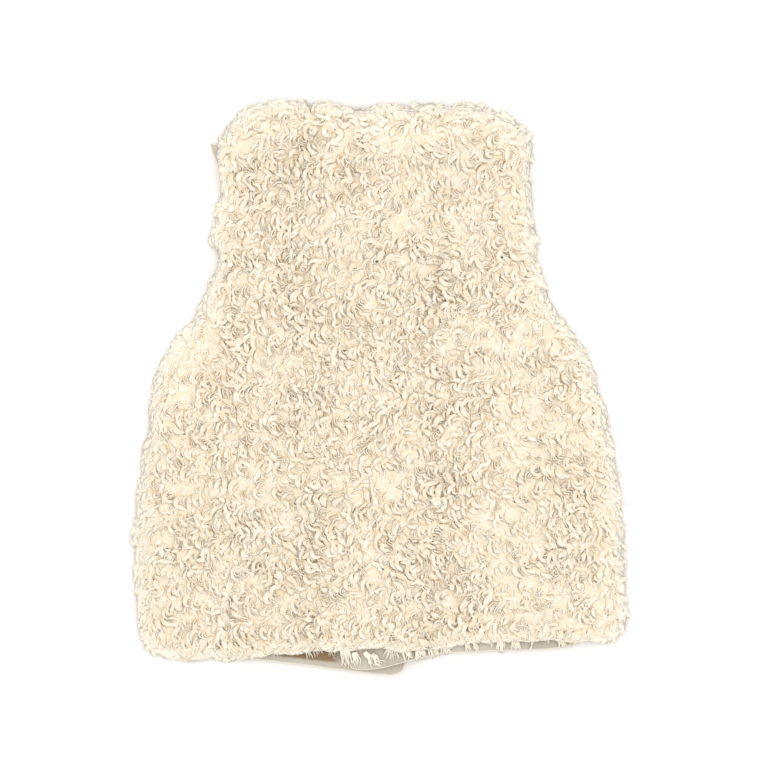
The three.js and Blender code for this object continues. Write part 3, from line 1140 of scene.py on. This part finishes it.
def furOn(prefix, roots, look, clothAt, pileAt, edgeTurn, material, keepIn, floor=0):
    rng = np.random.default_rng(look["seed"])
    x, y = roots.T
    many = len(x)
    patch = {key: field(x, y, *value) for key, value in patches.items()}
    inset, out = insetFrom(look["outerLine"], x, y)
    lean = math.radians(look["nap"]) + math.radians(look["wander"]) * patch["lean"]
    lean += math.radians(look["ownTurn"]) * rng.normal(0, spread["turn"], many)
    # near an edge they turn towards it, by one side or the other where the nap comes from there
    nearEdge = (1 - smooth(lie["edge"], look["edgeReach"], inset)) * edgeTurn(x, y, out)
    apartBy = (np.arctan2(out[:, 1], out[:, 0]) - lean + math.pi) % (2 * math.pi) - math.pi
    sideways = np.abs(apartBy) * np.sign(patch["side"])
    heading = lean + nearEdge * np.where(np.abs(apartBy) > lie["sideways"], sideways, apartBy)
    tuft = patch["lift"] * (1 - spread["broad"]) + patch["broadLift"] * spread["broad"]
    high = np.clip(0.5 + 0.5 * tuft + rng.uniform(-spread["lift"], spread["lift"], many), 0, 1)
    lift = look["lift"][0] + (look["lift"][1] - look["lift"][0]) * high
    draw = lambda key, count: rng.uniform(*look[key], count)
    swung = lambda key, part: rng.uniform(-look[key], look[key], len(part))
    number = rng.choice([1, 2, 3], many, p=look["strands"])
    lock = np.repeat(np.arange(many), number)
    count = len(lock)
    share = np.concatenate([np.linspace(-1, 1, n) if n > 1 else np.zeros(1) for n in number])
    base = {key: draw(key, many)[lock] for key in ("length", "swing", "hook", "droop", "width")}

    # each lock takes up the wave where the lock above it has got to
    nap = math.radians(look["nap"])
    phase = 2 * math.pi * (x * math.cos(nap) + y * math.sin(nap)) / look["crimp"]
    phase += look["crimpDrift"] * patch["wave"] + rng.normal(0, look["crimpJitter"], many)
    phase = phase[lock] + spread["phase"] * share
    hookSide = np.where(patch["hook"] + rng.normal(0, spread["hook"], many) > 0, 1, -1)[lock]
    fullness = np.where(number[lock] == 1, spread["alone"], spread["together"])
    width = base["width"] * rng.uniform(*spread["width"], count) * fullness
    length = base["length"] * rng.uniform(*spread["length"], count)
    atEdge = (1 - look["edgeLength"]) * (1 - smooth(*lie["longFrom"], inset))
    length *= ((1 + look["tufting"] * patch["length"]) * (1 - atEdge))[lock]
    waves = length / look["crimp"] * rng.uniform(*spread["waves"], many)[lock]

    t = np.linspace(0, 1, look["stations"])[None, :]
    wave = 2 * math.pi * waves[:, None] * t + phase[:, None]
    turn = (
        heading[lock][:, None]
        + base["swing"][:, None] * np.sin(wave)
        + (base["hook"] * hookSide)[:, None] * (t - lie["hookFrom"]) * smooth(*lie["hooked"], t)
        + spread["apart"] * share[:, None] * t
    )
    flat = lie["steep"] + (1 - lie["steep"]) * smooth(*lie["level"], t)
    step = (length / (look["stations"] - 1))[:, None] * flat
    dx, dy = step * np.cos(turn), step * np.sin(turn)
    side = np.stack([-np.sin(turn), np.cos(turn), np.zeros_like(turn)], 2)
    fan, wider = lie["fan"]
    apart = (share * base["width"] * look["gap"] * (number[lock] - 1) / 2)[:, None] * (fan + wider * t)
    px = x[lock][:, None] + np.cumsum(dx, 1) - dx[:, :1] + side[..., 0] * apart
    py = y[lock][:, None] + np.cumsum(dy, 1) - dy[:, :1] + side[..., 1] * apart
    px, py = keepIn(px, py)
    rooted = (look["rooted"] + look["parting"] * 4 * nearEdge * (1 - nearEdge))[lock][:, None]
    high = lift[lock][:, None]
    rise = rooted + smooth(*lie["risen"], t) * np.maximum(high - rooted, lie["leastRise"])
    rise -= base["droop"][:, None] * smooth(*lie["drooped"], t) * high
    rise += lie["rolled"] * np.cos(wave) * smooth(*lie["waved"], t)
    pz = clothAt(px, py) + pileAt(px, py) * np.clip(rise, *lie["heights"])
    if look["hang"]:
        pz = hungOver(px, py, pz, look["outerLine"], look["hang"])
    paths = np.stack([px, py, pz], 2)

    tone = rng.uniform(0, 1, many)[lock] * (1 - spread["tone"]) + spread["tone"] * rng.uniform(0, 1, count)
    # painted light: strands are paler near the rim, and further in at the top
    low, high = lie["paleTo"]
    paleTo = low + (high - low) * smooth(*lie["upward"], out[:, 1])
    pale = (1 - smooth(lie["paleFrom"], paleTo, inset))[lock] * rng.uniform(*spread["pale"], count)
    order = np.argsort(y[lock], kind="stable")
    made = []
    for i, part in enumerate(np.array_split(order, look["pieces"])):
        data = {"tone": tone[part], "pale": pale[part], "offset": rng.uniform(0, fibreRange, len(part))}
        made.append(sweep(
            f"{prefix}_{i + 1}", paths[part], side[part], width[part], look["section"],
            swung("roll", part), swung("twist", part), material, data, floor,
        ))
    print(prefix, many, "locks", count, "strands", sum(len(o.data.polygons) for o in made), "faces")
    return made


# wool matted under the locks, a low dome over the cloth that folds down over its edge
underwool = {
    "grid": (76, 86),
    "inset": -1.5,
    "openInset": 5.5,        # mm, where the hem stands open
    "fold": 5,               # mm in from the outline, where it starts down to its edge's level
    "level": 4,
    "domeFrom": 3,           # mm in from the outline, where the dome starts
    "rim": 17,               # where it has its full height
    "share": 0.7,            # of the pile's height
    "lumps": 1.0,            # mm
    "lumpPatch": (15, 31),   # mm, and a seed
    "thickness": 1.0,
    "clearance": 0.2,
}


def woolTop(x, y):
    inset = insetFrom(backLine, x.ravel(), y.ravel())[0].reshape(x.shape)
    lumps = field(x, y, *underwool["lumpPatch"])
    pile = np.maximum(backTop.at(x, y) - backClothTop(x, y), backFur["least"])
    rise = underwool["share"] * pile + underwool["lumps"] * lumps
    full = np.sqrt(smooth(underwool["domeFrom"], underwool["rim"], inset))
    low = backClothTop(x, y) + underwool["thickness"] + underwool["clearance"]
    folded = (1 - smooth(underwool["inset"], underwool["fold"], inset)) * (1 - atOpenEdge(x, y))
    return low + rise * full - folded * (low - underwool["level"])


def woolHemInset(x):
    more = underwool["openInset"] - underwool["inset"]
    return underwool["inset"] + more * within(x, *openHem["across"])


allRound = steady(underwool["inset"])
underwoolPlan = shiftedPlan(
    planOf(backOutline, *underwool["grid"], (allRound, allRound), woolHemInset, allRound), solidLine
)
underwoolPiece = clothPiece(
    "back_underwool", underwoolPlan, woolTop, underwool["thickness"], [matted] * 3
)


# painted light: the underwool is paler towards the rim
places = np.array([v.co[:2] for v in underwoolPiece.data.vertices]) / millimetre
rimInset = insetFrom(backLine, *places.T)[0]
addAttribute(underwoolPiece.data, "pale", 1 - smooth(lie["paleFrom"], underwool["rim"], rimInset))
print("underwool ready")


def backPile(x, y):
    return np.maximum(backTop.at(x, y) - backClothTop(x, y) - backFur["clearance"], backFur["least"])


# how far the locks near an edge turn out of the nap's way, most at the top
def backTurn(x, y, out):
    share, more, low, high = backFur["edgeTurn"]
    return share + more * smooth(low, high, out[:, 1])


# the fur's edge is a little higher where the hem stands open
hemHold = {
    "x": (-150, -130, -116, -60, -38, 75, 95, 205, 228),
    "rise": (0, 1, 4, 3.5, 2.5, 2.5, 5.2, 5.2, 0),
    "uneven": 1.6,
    "patch": (9, 33),        # mm, and a seed
    "shares": (0.65, 0.12),  # of what passes the line, that stays past it all round and where it's open
}
hemRise = np.interp(backLine[:, 0], hemHold["x"], hemHold["rise"])
hemRise = hemRise + hemHold["uneven"] * field(backLine[:, 0], 0 * hemRise, *hemHold["patch"])
atHem = backLine[:, 1] < openHem["below"]
holdLine = backLine + np.stack([0 * hemRise, np.where(atHem, hemRise, 0)], 1)
shortHem = {"at": (-165, -284), "size": 24, "share": 0.4}


def holdShare(x, y):
    gap = np.hypot(x - shortHem["at"][0], y - shortHem["at"][1])
    short = shortHem["share"] * bell(gap, shortHem["size"])
    usual, mouth = hemHold["shares"]
    return usual - short - (usual - mouth - short) * atOpenEdge(x, y)


holdBack = heldTo(holdLine, holdShare)
backLocks = []
for prefix, look, roots in (
    ("back_fur", backFur, scatter(backLine, backFur)),
    ("back_strands", backStrands, scatter(backLine, backStrands)),
    ("back_fringe", backFringe, rowsAlong(backLine, backFringe)),
    ("back_skirt", backSkirt, rowsAlong(backLine, backSkirt)),
    ("back_wisps", backWisps, rowsAlong(backLine, backWisps)),
):
    look["outerLine"] = backLine
    backLocks += furOn(
        prefix, roots, look, backClothTop, backPile, backTurn,
        whiteWool if look["paintedRimLight"] else wool, holdBack,
    )

# the fronts' wool lies underneath, pressed flat by the garment's weight
frontFur = {
    **backFur,
    "section": "strand",
    "spacing": 16,
    "strands": (0.2, 0.5, 0.3),
    "width": (3.6, 5.2),
    "length": (18, 28),
    "swing": (0.4, 0.9),
    "rooted": 0.2,
    "lift": (0.35, 1.0),
    "droop": (0.0, 0.2),
    "stations": 7,
    "pieces": 1,
    "rootInset": 2,
    "edgeLength": 1.0,
    "hang": None,
    "floor": 0.15,           # mm above the table
    "hold": 1.6,             # mm inside the panel's edge
    "edgeTurn": 0.4,
    "clearance": 1.6,
    "least": 0.5,
}


def frontPile(name, solid, outline, plan, clothTop, seed):
    under = HeightMap(solid, False)
    look = {**frontFur, "seed": seed, "outerLine": border(outline)}
    low = lambda x, y: clothTop(x, y) - frontCloth["thickness"]
    deep = lambda x, y: -np.maximum(low(x, y) - under.at(x, y) - look["clearance"], look["least"])
    edge = edgeOf(plan)
    return furOn(
        name, scatter(edge, look), look, low, deep, lambda x, y, out: np.full_like(x, look["edgeTurn"]),
        wool, heldTo(edge, lambda x, y: 0, look["hold"]), look["floor"],
    )


leftLocks = frontPile("front_left_fur", leftSolid, leftOutline, leftPlan, leftClothTop, 43)
rightLocks = frontPile("front_right_fur", rightSolid, rightOutline, rightPlan, rightClothTop, 47)


# white tufts that hang from the back's hem over the fronts' suede, each from one point to another
hemTufts = {
    "seed": 61,
    "stations": 9,
    "lift": 1.3,             # mm above the suede
    "fan": 0.55,             # share of a tuft's spread at its root
    "jitter": 0.12,
    "reach": (0.75, 1.05),   # share of the way to the tip
    "swing": (0.5, 1.2),     # share of the curl
    "waves": 1.2,
    "rootLevel": 4,          # mm above the back's underside
    "lifts": (0.8, 1.8),     # share of the lift
    "fall": (0.1, 0.7),      # shares of its length, where a strand comes down to the suede
    "clearance": 0.8,        # mm
    "widths": (0.7, 1.2),
    "tone": (0, 0.4),
    "twist": 0.6,
    "floor": 0.2,            # mm above the table
    # root x, y, tip x, y, spread, strands, a strand's width, curl to each side
    "tufts": [
        (-126, -268, -124, -281, 9, 7, 1.9, 1.1),
        (-112, -269, -112, -282, 9, 6, 1.8, 1.1),
        (-90, -266, -86, -276, 8, 5, 1.7, 1.1),
        (-79, -266, -75, -285, 6, 7, 1.8, 1.1),
        (-69, -266, -64, -281, 9, 9, 2.1, 1.1),
        (-54, -266, -49, -284, 7, 7, 1.9, 1.1),
        (-40, -267, -38, -282, 8, 9, 2.8, 1.1),
        (-38, -272, -33, -293, 13, 14, 3.0, 1.1),
        (-28, -276, -25, -291, 9, 8, 2.6, 1.1),
        (-17, -276, -4, -291, 6, 7, 2.6, 3.0),
        (-9, -278, 2, -292, 6, 6, 2.5, 3.0),
        (11, -266, 4, -284, 4, 4, 1.9, 1.1),
        (12, -266, 12, -288, 4, 4, 2.0, 1.1),
        (13, -266, 20, -286, 5, 5, 2.0, 1.1),
        (25, -268, 30, -288, 9, 12, 3.2, 1.1),
        (38, -268, 43, -288, 11, 14, 3.4, 1.1),
        (52, -267, 56, -285, 11, 13, 3.3, 1.1),
        (66, -266, 70, -282, 10, 12, 3.2, 1.1),
        (90, -262, 92, -281, 5, 8, 3.2, 1.1),
        (98, -262, 101, -280, 4, 6, 3.0, 1.1),
        (115, -262, 117, -276, 4, 4, 2.0, 1.1),
        (126, -262, 126, -281, 8, 12, 3.3, 1.1),
        (143, -261, 141, -280, 9, 12, 3.1, 2.2),
        (161, -262, 157, -279, 2, 3, 2.4, 1.1),
        (176, -262, 176, -273, 6, 5, 1.8, 1.1),
        (191, -261, 191, -278, 7, 10, 3.2, 1.1),
        (209, -262, 201, -277, 3, 4, 2.4, 1.1),
    ],
}


def frontLevel(x, y):
    level = np.full_like(x, 0.5)
    for plan, clothTop in ((leftPlan, leftClothTop), (rightPlan, rightClothTop)):
        onCloth = insetFrom(edgeOf(plan), x, y)[0] > 0
        level = np.where(onCloth, np.maximum(level, clothTop(x, y)), level)
    return level


def makeHemTufts(cfg):
    rng = np.random.default_rng(cfg["seed"])
    t = np.linspace(0, 1, cfg["stations"])
    paths, sides, widths = [], [], []
    for startX, startY, endX, endY, spreadBy, strands, strandWidth, curl in cfg["tufts"]:
        start, end = np.array([startX, startY], float), np.array([endX, endY], float)
        way = (end - start) / np.linalg.norm(end - start)
        side = np.array([-way[1], way[0]])
        for place in np.linspace(-0.5, 0.5, strands):
            off = (place + rng.uniform(-cfg["jitter"], cfg["jitter"])) * spreadBy
            reach = rng.uniform(*cfg["reach"])
            swing = curl * rng.uniform(*cfg["swing"])
            swing = swing * np.sin(2 * math.pi * (cfg["waves"] * t + rng.uniform(0, 1))) * t
            across = off * (cfg["fan"] + (1 - cfg["fan"]) * t) + swing
            plan = start + (end - start) * (t * reach)[:, None] + side * across[:, None]
            ground = frontLevel(*plan.T)
            high = backUnder.at(*plan[:1].T)[0] + cfg["rootLevel"]
            z = ground + cfg["lift"] * rng.uniform(*cfg["lifts"])
            z = high + (z - high) * smooth(*cfg["fall"], t)
            paths.append(np.column_stack([plan, np.maximum(z, ground + cfg["clearance"])]))
            step = np.gradient(plan, axis=0)
            step /= np.linalg.norm(step, axis=1, keepdims=True)
            sides.append(np.column_stack([-step[:, 1], step[:, 0], np.zeros(len(t))]))
            widths.append(strandWidth * rng.uniform(*cfg["widths"]))
    count = len(paths)
    data = {
        "tone": rng.uniform(*cfg["tone"], count),
        "pale": np.ones(count),
        "offset": rng.uniform(0, fibreRange, count),
    }
    return sweep(
        "hem_tufts", np.array(paths), np.array(sides), np.array(widths), "strand", np.zeros(count),
        rng.uniform(-cfg["twist"], cfg["twist"], count), whiteWool, data, cfg["floor"],
    )


backLocks.append(makeHemTufts(hemTufts))
print("hem ready")


# floor and light
studio = {
    "floorSize": 6.0,
    "floor": (0.98, 0.97, 0.95, 1),
    "floorGrain": (0.97, 0.96, 0.94, 1),
    "grain": 9.0,            # noise scale
    "world": 0.93,
    "key": 16.3,
    "lampSize": 2.4,
    "keyPlace": (-0.4, 0.6, 2.5),
    "fill": 9.4,
    "fillPlace": (0.7, -0.6, 2.3),
    "bounces": 12,           # light goes far into pale wool
}


def makeStudio(cfg):
    half = cfg["floorSize"] / 2
    corners = [(-half, -half, 0), (half, -half, 0), (half, half, 0), (-half, half, 0)]
    mesh = bpy.data.meshes.new("floor")
    mesh.from_pydata(corners, [], [(0, 1, 2, 3)])
    floor = bpy.data.objects.new("floor", mesh)
    scene.collection.objects.link(floor)
    net = Net("paper")
    grain = net.noise(net.place(), cfg["grain"])
    shade = net.blend(net.ramp(grain, [(0.4, 0.0), (0.6, 0.3)]), cfg["floor"], cfg["floorGrain"])
    bump = net.node("ShaderNodeBump", None, {"Strength": 0.02, "Height": grain}, output="Normal")
    mesh.materials.append(net.finish(shade, 0.9 - 0.02 * grain, bump, {"Specular IOR Level": 0.1}))
    floor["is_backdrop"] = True
    for name in ("key", "fill"):
        light = bpy.data.lights.new(name, "AREA")
        light.energy = cfg[name]
        light.size = cfg["lampSize"]
        lamp = bpy.data.objects.new(name, light)
        place = Vector(cfg[name + "Place"])
        lamp.location = place
        lamp.rotation_euler = (-place).to_track_quat("-Z", "Y").to_euler()
        scene.collection.objects.link(lamp)
    world = bpy.data.worlds.new("studio")
    world.use_nodes = True
    background = world.node_tree.nodes["Background"].inputs
    background["Color"].default_value = (1, 1, 1, 1)
    background["Strength"].default_value = cfg["world"]
    scene.world = world
    scene.view_settings.view_transform = "Standard"
    scene.cycles.diffuse_bounces = cfg["bounces"]


makeStudio(studio)
print("studio ready")

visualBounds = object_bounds()
sizes = {"cad": [list(corner) for corner in cadBounds], "visual": [list(corner) for corner in visualBounds]}
